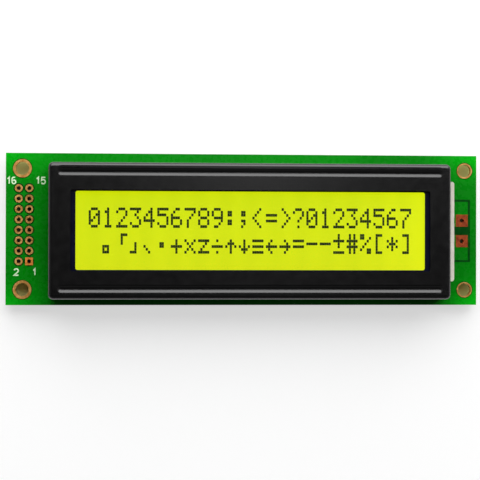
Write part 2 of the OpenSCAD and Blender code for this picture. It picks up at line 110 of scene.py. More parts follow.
# %% An empty material
def new_material(name):
    """An empty material with its tree, its Principled shader and millimetre coordinates."""
    material = bpy.data.materials.new(name)
    material.use_nodes = True
    tree = material.node_tree
    coords = tree.nodes.new("ShaderNodeTexCoord")
    mapping = tree.nodes.new("ShaderNodeMapping")
    mapping.inputs["Scale"].default_value = (1 / MM,) * 3
    tree.links.new(coords.outputs["Object"], mapping.inputs["Vector"])
    return material, tree, tree.nodes["Principled BSDF"], mapping.outputs["Vector"]


def put(tree, socket, value):
    """Links a socket to another one, or sets its plain value."""
    if isinstance(value, bpy.types.NodeSocket):
        tree.links.new(value, socket)
    else:
        socket.default_value = value


# %% Numbers from coordinates
def axes_of(tree, vector):
    """The X, Y and Z sockets of a vector."""
    split = tree.nodes.new("ShaderNodeSeparateXYZ")
    tree.links.new(vector, split.inputs["Vector"])
    return split.outputs


def math_node(tree, operation, *values):
    """One Math node on sockets or plain numbers."""
    node = tree.nodes.new("ShaderNodeMath")
    node.operation = operation
    for socket, value in zip(node.inputs, values):
        put(tree, socket, value)
    return node.outputs["Value"]


def distance_to(tree, vector, point):
    """The distance from a point, in the vector's own unit."""
    node = tree.nodes.new("ShaderNodeVectorMath")
    node.operation = "DISTANCE"
    tree.links.new(vector, node.inputs[0])
    node.inputs[1].default_value = point
    return node.outputs["Value"]


def spread(tree, value, low, high, start=0.3, end=0.7):
    """The value's range from start to end, mapped from low to high."""
    node = tree.nodes.new("ShaderNodeMapRange")
    for socket, number in zip(("From Min", "From Max", "To Min", "To Max"), (start, end, low, high)):
        node.inputs[socket].default_value = number
    tree.links.new(value, node.inputs["Value"])
    return node.outputs["Result"]


def noise(tree, vector, scale, detail=3.0, stretch=None):
    """A noise texture with that many cells to the millimetre."""
    if stretch:
        squeeze = tree.nodes.new("ShaderNodeMapping")
        squeeze.inputs["Scale"].default_value = stretch
        tree.links.new(vector, squeeze.inputs["Vector"])
        vector = squeeze.outputs["Vector"]
    texture = tree.nodes.new("ShaderNodeTexNoise")
    texture.inputs["Scale"].default_value = scale
    texture.inputs["Detail"].default_value = detail
    tree.links.new(vector, texture.inputs["Vector"])
    return texture.outputs["Fac"]


# %% Colours from numbers
MIX_FIRST, MIX_SECOND, MIX_RESULT = 6, 7, 2     # where a Mix node keeps its sockets for colour


def ramp(tree, factor, *stops):
    """A colour ramp with (position, colour) stops."""
    node = tree.nodes.new("ShaderNodeValToRGB")
    elements = node.color_ramp.elements
    while len(elements) < len(stops):
        elements.new(0.5)
    for element, (position, colour) in zip(elements, stops):
        element.position = position
        element.color = (*colour, 1)
    tree.links.new(factor, node.inputs["Fac"])
    return node.outputs["Color"]


def blend(tree, factor, first, second, way="MIX"):
    """Mixes two colours, each a socket or four plain numbers."""
    node = tree.nodes.new("ShaderNodeMix")
    node.data_type, node.blend_type = "RGBA", way
    put(tree, node.inputs["Factor"], factor)
    put(tree, node.inputs[MIX_FIRST], first)
    put(tree, node.inputs[MIX_SECOND], second)
    return node.outputs[MIX_RESULT]


# %% The recipe as a function
def relief(tree, shader, height, depth_um):
    """A bump of that depth, in micrometres."""
    bump = tree.nodes.new("ShaderNodeBump")
    bump.inputs["Strength"].default_value = 1.0
    bump.inputs["Distance"].default_value = depth_um * 1e-6
    tree.links.new(height, bump.inputs["Height"])
    tree.links.new(bump.outputs["Normal"], shader.inputs["Normal"])


def finish(name, dark, light, cells_per_mm, roughness, grain_per_mm, depth_um, **sockets):
    """A finish with drifting colour and roughness and a fine relief. The other sockets are the shader's own."""
    material, tree, shader, vector = new_material(name)
    drift = noise(tree, vector, cells_per_mm, 4.0)
    tree.links.new(ramp(tree, drift, (0.3, dark), (0.7, light)), shader.inputs["Base Color"])
    tree.links.new(spread(tree, drift, *roughness), shader.inputs["Roughness"])
    relief(tree, shader, noise(tree, vector, grain_per_mm, 2.0), depth_um)
    for socket, value in sockets.items():
        shader.inputs[socket.replace("_", " ")].default_value = value
    return material


def dress(material, *names):
    """Puts a finish on CAD nodes."""
    for name in names:
        mesh = NODES[name].data
        if not mesh.materials:
            mesh.materials.append(material)
        for i in range(len(mesh.materials)):
            mesh.materials[i] = material
    print(material.name, "on", ", ".join(names))


# %% [markdown]
# ## The green board
# The board is glass cloth in epoxy under a glossy green mask. The mask drifts in tone at random. On top of that,
# painted light makes it lighter toward the upper edge and at the four corners. The cloth's weave prints through it
# as a faint square relief of about half a millimetre. The sawn edges carry no mask, and show the pale laminate.
# All of this is found from the coordinates: an edge is what lies within a few hundredths of a millimetre of the
# side of the board's box, and nearness to a corner is the product of nearness to its two sides.

# %% Solder mask
board_middle = (board_low + board_high) / 2 / MM
board_half = (board_high - board_low) / 2 / MM
EDGE_BAND = 0.02
CORNER_LIGHT_REACH = (14.0, 7.5)
DRIFT_SHARE, CORNER_LIGHT_SHARE, UPPER_LIGHT_SHARE = 0.8, 0.0062, 0.006
solder_mask, tree, shader, vector = new_material("solder_mask")
place = axes_of(tree, vector)
edges, corners = [], []
for axis in (0, 1):
    away = math_node(tree, "ABSOLUTE", math_node(tree, "SUBTRACT", place[axis], board_middle[axis]))
    edges.append(math_node(tree, "GREATER_THAN", away, board_half[axis] - EDGE_BAND))
    close = math_node(tree, "SUBTRACT", away, board_half[axis] - CORNER_LIGHT_REACH[axis])
    corners.append(math_node(tree, "MAXIMUM", close, 0.0))
mask_tone_and_light = math_node(tree, "MULTIPLY", noise(tree, vector, 0.045, 2.0), DRIFT_SHARE)
# painted light: the mask colour is made lighter near the four corners and toward the upper edge
mask_tone_and_light = math_node(tree, "MULTIPLY_ADD", math_node(tree, "MULTIPLY", *corners), CORNER_LIGHT_SHARE, mask_tone_and_light)
mask_tone_and_light = math_node(tree, "MULTIPLY_ADD", place["Y"], UPPER_LIGHT_SHARE, mask_tone_and_light)
mask_green = ramp(tree, mask_tone_and_light, (0.25, (0.0005, 0.16, 0.003)), (0.60, (0.0006, 0.26, 0.004)),
                  (1.0, (0.0008, 0.46, 0.006)))
laminate = ramp(tree, noise(tree, vector, 4.0, 3.0, (1, 1, 8)), (0.3, (0.19, 0.20, 0.06)),
                (0.7, (0.32, 0.32, 0.12)))
sawn = math_node(tree, "MAXIMUM", *edges)
tree.links.new(blend(tree, sawn, mask_green, laminate), shader.inputs["Base Color"])
weave = 0.0
for direction in ("X", "Y"):
    wave = tree.nodes.new("ShaderNodeTexWave")
    wave.bands_direction = direction
    wave.inputs["Scale"].default_value = 0.62
    wave.inputs["Distortion"].default_value = 0.6
    wave.inputs["Detail"].default_value = 2.0
    tree.links.new(vector, wave.inputs["Vector"])
    weave = math_node(tree, "ADD", wave.outputs["Fac"], weave)
relief(tree, shader, math_node(tree, "ADD", weave, noise(tree, vector, 3.0, 3.0)), 1.2)
tree.links.new(spread(tree, noise(tree, vector, 0.8), 0.22, 0.34), shader.inputs["Roughness"])
shader.inputs["Specular IOR Level"].default_value = 0.16
dress(solder_mask, "circuit_board")

# %% [markdown]
# ## Gold, copper and tin
# The lands and the barrels of the plated holes are copper under a very thin layer of gold, which looks orange
# where the gold is worn, as on the square land of pin 1. The two square lands of the backlight supply were left
# bare: they have turned red-brown. The caps of the chip parts and the solder are tin. Clean metal gets its colour
# only from what it reflects, so the tin has metallic at 1. The thin gold and the tarnished copper scatter part of
# the light instead, as a dull surface does, so their metallic is near a half.

# %% Metals
GOLD = ((0.56, 0.25, 0.05), (0.82, 0.46, 0.14), 1.2, (0.28, 0.45), 9.0, 2.0)
gold_plating = finish("gold_plating", *GOLD, Metallic=0.45)
bare_copper = finish("bare_copper", (0.22, 0.026, 0.004), (0.42, 0.075, 0.010), 1.1, (0.45, 0.65), 7.0, 4.0,
                     Metallic=0.55)
tin = finish("tin", (0.50, 0.50, 0.48), (0.72, 0.71, 0.68), 2.5, (0.20, 0.42), 10.0, 3.0, Metallic=1.0)
dress(gold_plating, "mounting_hole_rings", "upper_contacts", "lower_contacts")
dress(bare_copper, "supply_pads")
dress(tin, "backlight_pins", "pin_solder_joints", "chip_end_caps")

# %% The worn land of pin 1
WORN_GOLD, WORN_REACH = (1.0, 0.33, 0.06, 1), 1.9
header_gold = finish("header_gold", *GOLD, Metallic=0.45)
tree = header_gold.node_tree
base = tree.nodes["Principled BSDF"].inputs["Base Color"]
pin_one = min(header_lands, key=lambda box: box[0].y - box[0].x)
away = distance_to(tree, tree.nodes["Mapping"].outputs["Vector"], (pin_one[0] + pin_one[1]) / 2 / MM)
worn = math_node(tree, "LESS_THAN", away, WORN_REACH)
tree.links.new(blend(tree, worn, base.links[0].from_socket, WORN_GOLD), base)
dress(header_gold, "header_pads")

# %% [markdown]
# ## The black bezel
# The bezel is pressed from sheet steel and then sprayed satin black. Sprayed paint dries with a fine ripple,
# called orange peel, and it gathers a few specks of dust. The ripple is what spreads the light along the bends
# and the pressed beads, so its depth matters more than the colour. The specks are the few cells of a Voronoi
# texture whose random value is highest, cut down to a dot at the cell's middle.

# %% Bezel paint
SPECK_SIZE, SPECK_CHANCE = 0.045, 0.93
bezel_paint, tree, shader, vector = new_material("bezel_paint")
speck = tree.nodes.new("ShaderNodeTexVoronoi")
speck.inputs["Scale"].default_value = 0.28
tree.links.new(vector, speck.inputs["Vector"])
chosen = tree.nodes.new("ShaderNodeSeparateColor")
tree.links.new(speck.outputs["Color"], chosen.inputs["Color"])
dust = math_node(tree, "MULTIPLY", math_node(tree, "LESS_THAN", speck.outputs["Distance"], SPECK_SIZE),
                 math_node(tree, "GREATER_THAN", chosen.outputs[0], SPECK_CHANCE))
black = ramp(tree, noise(tree, vector, 0.15), (0.3, (0.0016, 0.0015, 0.0017)), (0.7, (0.0030, 0.0028, 0.0030)))
tree.links.new(blend(tree, dust, black, (0.16, 0.16, 0.16, 1)), shader.inputs["Base Color"])
tree.links.new(spread(tree, noise(tree, vector, 0.5), 0.21, 0.26), shader.inputs["Roughness"])
shader.inputs["Specular IOR Level"].default_value = 0.72
relief(tree, shader, noise(tree, vector, 1.6, 2.0), 0.8)
dress(bezel_paint, "front_bezel")

# %% [markdown]
# ## The glass cell and its films
# Two glasses hold the liquid crystal between them. A polarizer film covers each outer side, and a black printed
# mask frames the view. Clear parts only dim what lies behind them by a few percent, so they are thin shaders with
# a low alpha. The alpha rises where we look along the surface, as the gloss of real glass does.

# %% Clear films and glass
def clear(name, tint, low, high, roughness):
    """A clear finish: see-through face on, and glossier along the surface."""
    material, tree, shader, vector = new_material(name)
    smear = noise(tree, vector, 0.12, 3.0)
    darker = tuple(0.9 * c for c in tint)
    tree.links.new(ramp(tree, smear, (0.3, darker), (0.7, tint)), shader.inputs["Base Color"])
    tree.links.new(spread(tree, smear, roughness, 2 * roughness), shader.inputs["Roughness"])
    facing = tree.nodes.new("ShaderNodeLayerWeight")
    facing.inputs["Blend"].default_value = 0.25
    tree.links.new(spread(tree, facing.outputs["Facing"], low, high, 0.0, 1.0), shader.inputs["Alpha"])
    relief(tree, shader, noise(tree, vector, 0.6, 2.0), 1.0)
    return material


front_film = clear("front_film", (0.10, 0.12, 0.05), 0.03, 0.22, 0.10)
cell_glass = clear("cell_glass", (0.22, 0.34, 0.24), 0.01, 0.25, 0.04)
dress(front_film, "front_polarizer")
dress(cell_glass, "front_glass", "rear_glass")

# %% Mask, seal and adhesive
mask_film = finish("mask_film", (0.0008, 0.0010, 0.009), (0.0014, 0.0018, 0.018), 0.4, (0.35, 0.5), 6.0, 1.5,
                   Specular_IOR_Level=0.1)
cell_seal = finish("cell_seal", (0.30, 0.30, 0.24), (0.45, 0.45, 0.36), 1.5, (0.5, 0.7), 6.0, 4.0)
port_adhesive = finish("port_adhesive", (0.38, 0.28, 0.08), (0.60, 0.48, 0.20), 0.8, (0.15, 0.3), 3.0, 6.0)
dress(mask_film, "window_mask")
dress(cell_seal, "cell_seal")
dress(port_adhesive, "fill_port_plug")

# %% [markdown]
# ## The lit field
# The yellow-green light comes from rows of small LEDs under an opal plate, and the rear polarizer spreads it. So
# the film glows by itself, and it also reflects the room. Its light isn't quite even: it leans to yellow at the
# right end, where the supply enters, it is a little greener along the top, and each LED makes a very faint bright
# spot. A gradient across the view and a soft wave at the LEDs' spacing give that.

# %% Glow of the rear film
view_low, view_high = (Vector(c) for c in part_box("rear_polarizer"))
led_columns = len({round((lo.x + hi.x) / 2, 5) for lo, hi in solids_of("backlight_leds")})
rear_film, tree, shader, vector = new_material("rear_film")
place = axes_of(tree, vector)
along = spread(tree, place["X"], 0.0, 1.0, view_low.x / MM, view_high.x / MM)
up = spread(tree, place["Y"], 0.0, 1.0, view_low.y / MM, view_high.y / MM)
to_the_right = ramp(tree, along, (0.0, (0.68, 0.80, 0.0030)), (0.80, (0.70, 0.82, 0.0030)),
                    (1.0, (0.80, 0.91, 0.0030)))
to_the_top = ramp(tree, up, (0.0, (1.0, 0.97, 1.0)), (0.5, (1.0, 1.0, 0.6)), (1.0, (0.93, 0.97, 0.3)))
tree.links.new(blend(tree, 1.0, to_the_right, to_the_top, "MULTIPLY"), shader.inputs["Emission Color"])
film_green = ramp(tree, noise(tree, vector, 0.2), (0.3, (0.34, 0.41, 0.004)), (0.7, (0.37, 0.43, 0.005)))
tree.links.new(film_green, shader.inputs["Base Color"])
spots = math_node(tree, "COSINE", math_node(tree, "MULTIPLY", along, 2 * math.pi * led_columns))
tree.links.new(spread(tree, spots, 1.02, 0.98, -1.0, 1.0), shader.inputs["Emission Strength"])
tree.links.new(spread(tree, noise(tree, vector, 2.0), 0.45, 0.6), shader.inputs["Roughness"])
relief(tree, shader, noise(tree, vector, 5.0, 2.0), 2.0)
dress(rear_film, "rear_polarizer")
print(led_columns, "columns of LEDs behind the field")

# %% [markdown]
# ## Housing, elastomer and other plastics
# The backlight housing is moulded from white plastic and carries the LED board. The chips lie under drops of
# black epoxy, which dry glossy and slightly wavy. The strips that join the glass to the board are silicone with
# hair-thin conducting layers, which look like a zebra's stripes. A saw-tooth of the X coordinate gives the stripes.

# %% Plastics, epoxy and ceramic
white_housing = finish("white_housing", (0.74, 0.69, 0.60), (0.84, 0.79, 0.70), 0.5, (0.4, 0.55), 5.0, 3.0)
diffuser = finish("diffuser", (0.70, 0.78, 0.55), (0.82, 0.88, 0.70), 0.3, (0.4, 0.5), 4.0, 2.0)
led_board = finish("led_board", (0.60, 0.58, 0.46), (0.72, 0.70, 0.58), 0.4, (0.3, 0.45), 6.0, 2.0)
led_body = finish("led_body", (0.55, 0.50, 0.10), (0.75, 0.70, 0.22), 1.5, (0.08, 0.2), 3.0, 2.0)
epoxy_cover = finish("epoxy_cover", (0.006, 0.006, 0.007), (0.013, 0.013, 0.014), 0.35, (0.10, 0.20), 0.4, 25.0)
resistor_body = finish("resistor_body", (0.010, 0.010, 0.013), (0.025, 0.025, 0.030), 2.0, (0.3, 0.45), 8.0, 3.0)
capacitor_body = finish("capacitor_body", (0.28, 0.17, 0.09), (0.40, 0.26, 0.15), 2.0, (0.45, 0.6), 8.0, 4.0)
dress(white_housing, "backlight_housing")
dress(diffuser, "backlight_diffuser")
dress(led_board, "backlight_board")
dress(led_body, "backlight_leds")
dress(epoxy_cover, "controller_cover", "segment_driver_cover", "end_driver_cover")
dress(resistor_body, "bias_resistors", "oscillator_resistor", "backlight_resistors")
dress(capacitor_body, "supply_capacitors")

# %% Striped elastomer
STRIPES_PER_MM = 5.5
elastomer, tree, shader, vector = new_material("elastomer")
stripe = math_node(tree, "FRACT", math_node(tree, "MULTIPLY", axes_of(tree, vector)["X"], STRIPES_PER_MM))
tree.links.new(ramp(tree, stripe, (0.42, (0.025, 0.025, 0.027)), (0.50, (0.30, 0.29, 0.30))),
               shader.inputs["Base Color"])
tree.links.new(spread(tree, noise(tree, vector, 3.0), 0.55, 0.75), shader.inputs["Roughness"])
relief(tree, shader, noise(tree, vector, 8.0, 2.0), 4.0)
dress(elastomer, "upper_elastomer_strip", "lower_elastomer_strip")

# %% [markdown]
# ## The dots
# A character is a grid of five by seven dots, and the controller's own memory draws each one. We write the shapes
# as rows of text, where a hash is a dark dot, and look up each dot's place in the box of its character cell. A
# cell has room for an eighth row, where a cursor would stand.

# %% Shapes of the characters
GLYPHS = {
    "0": " ### |#   #|#  ##|# # #|##  #|#   #| ### ", "1": "  #  | ##  |  #  |  #  |  #  |  #  | ### ",
    "2": " ### |#   #|    #|   # |  #  | #   |#####", "3": "#####|   # |  #  |   # |    #|#   #| ### ",
    "4": "   # |  ## | # # |#  # |#####|   # |   # ", "5": "#####|#    |#### |    #|    #|#   #| ### ",
    "6": "  ## | #   |#    |#### |#   #|#   #| ### ", "7": "#####|    #|   # |  #  | #   | #   | #   ",
    "8": " ### |#   #|#   #| ### |#   #|#   #| ### ", "9": " ### |#   #|#   #| ####|    #|   # | ##  ",
    ":": "     | ##  | ##  |     | ##  | ##  |     ", ";": "     | ##  | ##  |     | ##  |  #  | #   ",
    "<": "   # |  #  | #   |#    | #   |  #  |   # ", "=": "     |     |#####|     |#####|     |     ",
    ">": " #   |  #  |   # |    #|   # |  #  | #   ", "?": " ### |#   #|    #|   # |  #  |     |  #  ",
    " ": "     |     |     |     |     |     |     ", "o": "     |     |     |     |###  |# #  |###  ",
    "r": "  ###|  #  |  #  |  #  |     |     |     ", "j": "     |     |     |  #  |  #  |  #  |###  ",
    "`": "     |     |     |     |#    | #   |  #  ", ".": "     |     |     | ##  | ##  |     |     ",
    "+": "     |     |  #  |  #  |#####|  #  |  #  ", "-": "     |     |     |#####|     |     |     ",
    "x": "     |     |#   #| # # |  #  | # # |#   #", "/": "     |     |  #  |     |#####|     |  #  ",
    "E": "     |     |#####|     |#####|     |#####", "z": "     |     |#####|   # |  #  | #   |#####",
    "u": "     |     |  #  | ### |# # #|  #  |  #  ", "d": "     |     |  #  |  #  |# # #| ### |  #  ",
    "l": "     |     |  #  | #   |#####| #   |  #  ", "g": "     |     |  #  |   # |#####|   # |  #  ",
    "#": " # # | # # |#####| # # |#####| # # | # # ", "%": "##   |##  #|   # |  #  | #   |#  ##|   ##",
    "[": " ### | #   | #   | #   | #   | #   | ### ", "]": " ### |   # |   # |   # |   # |   # | ### ",
    "*": "     |  #  |# # #| ### |# # #|  #  |     ", "P": "  #  |  #  |#####|  #  |  #  |     |#####",
}
LINES = ["0123456789:;<=>?01234567", " orj`.+xz/udElg=--P#%[*]"]
assert set("".join(LINES)) == set(GLYPHS)
print(len(GLYPHS), "shapes for", sum(len(line) for line in LINES), "characters")

# %% Places of the dots
DOTS_ACROSS, DOTS_UP, FILL = 5, 8, 0.97     # FILL is the dark part of a dot's pitch
columns = len(LINES[0])
cell_size = cells[0][1] - cells[0][0]
pitch = Vector((cell_size.x / (DOTS_ACROSS - 1 + FILL), cell_size.y / (DOTS_UP - 1 + FILL)))
dot_points = []
for line, row in zip(LINES, (cells[columns:], cells[:columns])):
    for character, (lo, hi) in zip(line, row):
        for j, dots in enumerate(GLYPHS[character].split("|")):
            for i, dot in enumerate(dots):
                if dot == "#":
                    dot_points.append((lo.x + (i + FILL / 2) * pitch.x, hi.y - (j + FILL / 2) * pitch.y,
                                       (lo.z + hi.z) / 2))
dot_size = pitch * FILL
print(len(dot_points), "dark dots of", round(dot_size.x / MM, 3), "by", round(dot_size.y / MM, 3), "mm")

# %% [markdown]
# ## Geometry Nodes for what repeats
# Three things repeat here: the dots, the small plated holes called vias, and the rings of bare laminate round the
# lands. The dots get one tree and the rings another, both built in the script. The first helper below makes a group
# with its named inputs. The next ones end the tree, run it on a cloud of points and keep the result as plain mesh,
# so that the finished model carries no modifiers.

# %% A tree's two ends
def new_tree(name, **inputs):
    """A geometry group with its input and output nodes and the named numbers."""
    group = bpy.data.node_groups.new(name, "GeometryNodeTree")
    group.interface.new_socket("Geometry", in_out="INPUT", socket_type="NodeSocketGeometry")
    group.interface.new_socket("Geometry", in_out="OUTPUT", socket_type="NodeSocketGeometry")
    for label, value in inputs.items():
        socket = group.interface.new_socket(label, in_out="INPUT", socket_type="NodeSocketFloat")
        socket.default_value = value
    group.interface.new_socket("Finish", in_out="INPUT", socket_type="NodeSocketMaterial")
    return group, group.nodes.new("NodeGroupInput"), group.nodes.new("NodeGroupOutput")


def end_tree(group, source, sink, shape):
    """Sets the shape on every point, joins the copies into one mesh and gives them the finish."""
    spots = group.nodes.new("GeometryNodeMeshToPoints")
    copies = group.nodes.new("GeometryNodeInstanceOnPoints")
    realize = group.nodes.new("GeometryNodeRealizeInstances")
    paint = group.nodes.new("GeometryNodeSetMaterial")
    for a, b in ((source.outputs["Geometry"], spots.inputs["Mesh"]), (shape, copies.inputs["Instance"]),
                 (spots.outputs["Points"], copies.inputs["Points"]),
                 (copies.outputs["Instances"], realize.inputs["Geometry"]),
                 (realize.outputs["Geometry"], paint.inputs["Geometry"]),
                 (source.outputs["Finish"], paint.inputs["Material"]),
                 (paint.outputs["Geometry"], sink.inputs["Geometry"])):
        group.links.new(a, b)


# %% Running a tree and keeping a piece
def keep(name, mesh, material):
    """Links a finished mesh as a piece of the module."""
    mesh.materials.clear()
    mesh.materials.append(material)
    piece = bpy.data.objects.new(name, mesh)
    bpy.context.collection.objects.link(piece)
    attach(piece, "root")
    print(name, "has", len(mesh.polygons), "faces")
    return piece


def grow(name, group, points, material, slot, **values):
    """Runs a tree on a cloud of points and keeps the result as a plain mesh piece."""
    cloud = bpy.data.meshes.new(name + "_points")
    cloud.from_pydata(points, [], [])
    maker = bpy.data.objects.new(name + "_maker", cloud)
    bpy.context.collection.objects.link(maker)
    modifier = maker.modifiers.new("grow", "NODES")
    modifier.node_group = group
    sockets = {item.name: item.identifier for item in group.interface.items_tree if item.in_out == "INPUT"}
    for label, value in values.items():
        modifier[sockets[label]] = value
    modifier[sockets["Finish"]] = material
    bpy.context.view_layer.update()
    graph = bpy.context.evaluated_depsgraph_get()
    mesh = bpy.data.meshes.new_from_object(maker.evaluated_get(graph))
    mesh.name = name
    bpy.data.objects.remove(maker)
    return keep(name, mesh, material)


# %% [markdown]
# ## Plates for the dots
# All the dots are alike, so one small plate is modelled and the tree sets a copy on every point. The plate is
# half as thick as the liquid layer and hangs in its middle, because two faces in one plane flicker in a render.

# %% Dots of the display
LAYER_SHARE = 0.5
dot_ink = finish("dot_ink", (0.006, 0.018, 0.002), (0.012, 0.030, 0.003), 0.6, (0.5, 0.6), 4.0, 1.0,
                 Specular_IOR_Level=0.1)
tree_dots, source, sink = new_tree("Dot plates", Width=0.5 * MM, Height=0.65 * MM, Thickness=0.05 * MM)
plate = tree_dots.nodes.new("GeometryNodeMeshCube")
size = tree_dots.nodes.new("ShaderNodeCombineXYZ")
for label, axis in (("Width", "X"), ("Height", "Y"), ("Thickness", "Z")):
    tree_dots.links.new(source.outputs[label], size.inputs[axis])
tree_dots.links.new(size.outputs["Vector"], plate.inputs["Size"])
end_tree(tree_dots, source, sink, plate.outputs["Mesh"])
display_dots = grow("display_dots", tree_dots, dot_points, dot_ink, "display_field", Width=dot_size.x,
                    Height=dot_size.y, Thickness=LAYER_SHARE * cell_size.z)
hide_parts("character_cells")

# %% [markdown]
# ## Print and copper on the board
# White numbers are printed beside the header, and the copper shows under the green mask as slightly raised lines.
# Both are thin flat strips that follow a path, so one function makes them all. At each bend it lays the strip's
# two sides on the mitre between the path's two directions. That keeps the width even. In a very sharp bend the
# mitre would run far out, so its reach is limited.

# %% Strips that follow a path
MITRE_LIMIT = 0.4


def strip(mesh, path, width, low, high, closed=False):
    """Adds a closed flat strip along a path in the XY plane."""
    path = [Vector(p) for p in path]
    count = len(path)
    rings = []
    for i, p in enumerate(path):
        before = path[i - 1] if (i or closed) else None
        after = path[(i + 1) % count] if (i + 1 < count or closed) else None
        into = (p - before).normalized() if before else (after - p).normalized()
        out = (after - p).normalized() if after else into
        side = Vector((-into.y - out.y, into.x + out.x)).normalized()
        reach = side * width / 2 / max(side.dot(Vector((-into.y, into.x))), MITRE_LIMIT)
        corners = [(p + reach, low), (p - reach, low), (p - reach, high), (p + reach, high)]
        rings.append([mesh.verts.new((q.x, q.y, z)) for q, z in corners])
    for a, b in zip(rings, rings[1:] + rings[:1] if closed else rings[1:]):
        for k in range(4):
            mesh.faces.new((a[k], a[(k + 1) % 4], b[(k + 1) % 4], b[k]))
    if not closed:
        mesh.faces.new(rings[0])
        mesh.faces.new(rings[-1])


def arc(x, y, rx, ry, start, end, steps=10):
    """Points on an ellipse from one angle to another, in degrees."""
    angles = [math.radians(start + (end - start) * i / steps) for i in range(steps + 1)]
    return [(x + rx * math.cos(a), y + ry * math.sin(a)) for a in angles]


def piece_from(name, mesh, material):
    """Turns the faces outward and keeps the mesh as a piece."""
    bmesh.ops.recalc_face_normals(mesh, faces=mesh.faces)
    data = bpy.data.meshes.new(name)
    mesh.to_mesh(data)
    mesh.free()
    return keep(name, data, material)


# %% Strokes of the numbers
STROKES = {     # a digit's width and its strokes, in a box one unit high
    "1": (0.55, [[(0.05, 0.74), (0.42, 1.0), (0.42, 0.0)]]),
    "2": (1.0, [arc(0.5, 0.70, 0.42, 0.30, 170, -38) + [(0.06, 0.0), (0.96, 0.0)]]),
    "5": (1.0, [[(0.88, 1.0), (0.20, 1.0), (0.12, 0.52)] + arc(0.47, 0.33, 0.43, 0.33, 115, -150)]),
    "6": (1.0, [arc(0.5, 0.70, 0.40, 0.30, 55, 180) + arc(0.5, 0.28, 0.40, 0.28, 180, 300, 7),
                arc(0.5, 0.28, 0.40, 0.28, 285, 520, 13)]),
}
header_low = Vector(min(lo[i] for lo, hi in header_lands) for i in (0, 1))
header_high = Vector(max(hi[i] for lo, hi in header_lands) for i in (0, 1))
LABELS = [      # a number, where it starts, how long it is, and the line it stands on
    ("16", header_low.x - 1.83 * MM, 2.15 * MM, header_high.y + 0.13 * MM),
    ("15", header_high.x + 0.73 * MM, 2.30 * MM, header_high.y + 0.13 * MM),
    ("2", header_low.x - 0.18 * MM, 1.16 * MM, header_low.y - 2.43 * MM),
    ("1", header_high.x, 0.60 * MM, header_low.y - 2.43 * MM),
]
print("numbers", ", ".join(text for text, *_ in LABELS), "from", len(STROKES), "digits")

# %% Printed numbers
LABEL_HEIGHT, STROKE, SPACE = 1.55 * MM, 0.32 * MM, 0.38
INK, INK_STEP = 0.020 * MM, 0.005 * MM      # a second stroke is thinner, so that its top doesn't meet the first's
ink = finish("legend_ink", (0.58, 0.82, 0.50), (0.76, 0.94, 0.66), 2.0, (0.5, 0.7), 8.0, 6.0)
front = board_high.z
print_mesh = bmesh.new()
for text, x, length, base in LABELS:
    scale = length / (sum(STROKES[c][0] for c in text) + SPACE * (len(text) - 1))
    for c in text:
        wide, strokes = STROKES[c]
        for layer, path in enumerate(strokes):
            strip(print_mesh, [(x + u * scale, base + v * LABEL_HEIGHT) for u, v in path], STROKE, front,
                  front + INK - layer * INK_STEP)
        x += (wide + SPACE) * scale
piece_from("board_numbers", print_mesh, ink)

# %% [markdown]
# ## Gaps in the copper
# Most of the front is one sheet of copper under the mask. Where the copper is cut away, the mask lies on bare
# laminate and looks much darker. It is cut away in a ring round each land and each mounting hole, between the two
# supply lands, and along the outline that parts their copper from the rest. A ring is a circle swept by a small
# circle and then pressed flat, so one tree with four inputs makes every size of ring, and the vias too.

# %% A tree for flat rings
tree_rings, source, sink = new_tree("Flat rings", Radius=0.30 * MM, Wall=0.10 * MM, Flatness=0.3, Sides=16)
circle = tree_rings.nodes.new("GeometryNodeCurvePrimitiveCircle")
wall = tree_rings.nodes.new("GeometryNodeCurvePrimitiveCircle")
wall.inputs["Resolution"].default_value = 8
tube = tree_rings.nodes.new("GeometryNodeCurveToMesh")
press = tree_rings.nodes.new("GeometryNodeTransform")
flat = tree_rings.nodes.new("ShaderNodeCombineXYZ")
flat.inputs["X"].default_value = flat.inputs["Y"].default_value = 1.0
for a, b in ((source.outputs["Radius"], circle.inputs["Radius"]), (source.outputs["Wall"], wall.inputs["Radius"]),
             (source.outputs["Sides"], circle.inputs["Resolution"]), (source.outputs["Flatness"], flat.inputs["Z"]),
             (circle.outputs["Curve"], tube.inputs["Curve"]), (wall.outputs["Curve"], tube.inputs["Profile Curve"]),
             (tube.outputs["Mesh"], press.inputs["Geometry"]), (flat.outputs["Vector"], press.inputs["Scale"])):
    tree_rings.links.new(a, b)
end_tree(tree_rings, source, sink, press.outputs["Geometry"])
print("flat rings take", ", ".join(item.name for item in tree_rings.interface.items_tree if item.in_out == "INPUT"))

# %% Rings round the lands
gap_green = finish("gap_green", (0.0004, 0.042, 0.003), (0.001, 0.066, 0.005), 0.6, (0.25, 0.35), 3.0, 2.0,
                   Specular_IOR_Level=0.10)
left_rings = [b for b in mount_rings if b[0].x < 0]
right_rings = [b for b in mount_rings if b[0].x > 0]
for name, lands, wall_size in (("header_gaps", header_lands, 0.15 * MM), ("left_hole_gaps", left_rings, 0.09 * MM),
                               ("right_hole_gaps", right_rings, 0.09 * MM)):
    centres = [((lo.x + hi.x) / 2, (lo.y + hi.y) / 2, front) for lo, hi in lands]
    land_radius = (lands[0][1].x - lands[0][0].x) / 2
    grow(name, tree_rings, centres, gap_green, "solder_mask", Radius=land_radius + wall_size, Wall=wall_size,
         Flatness=0.12, Sides=32.0)

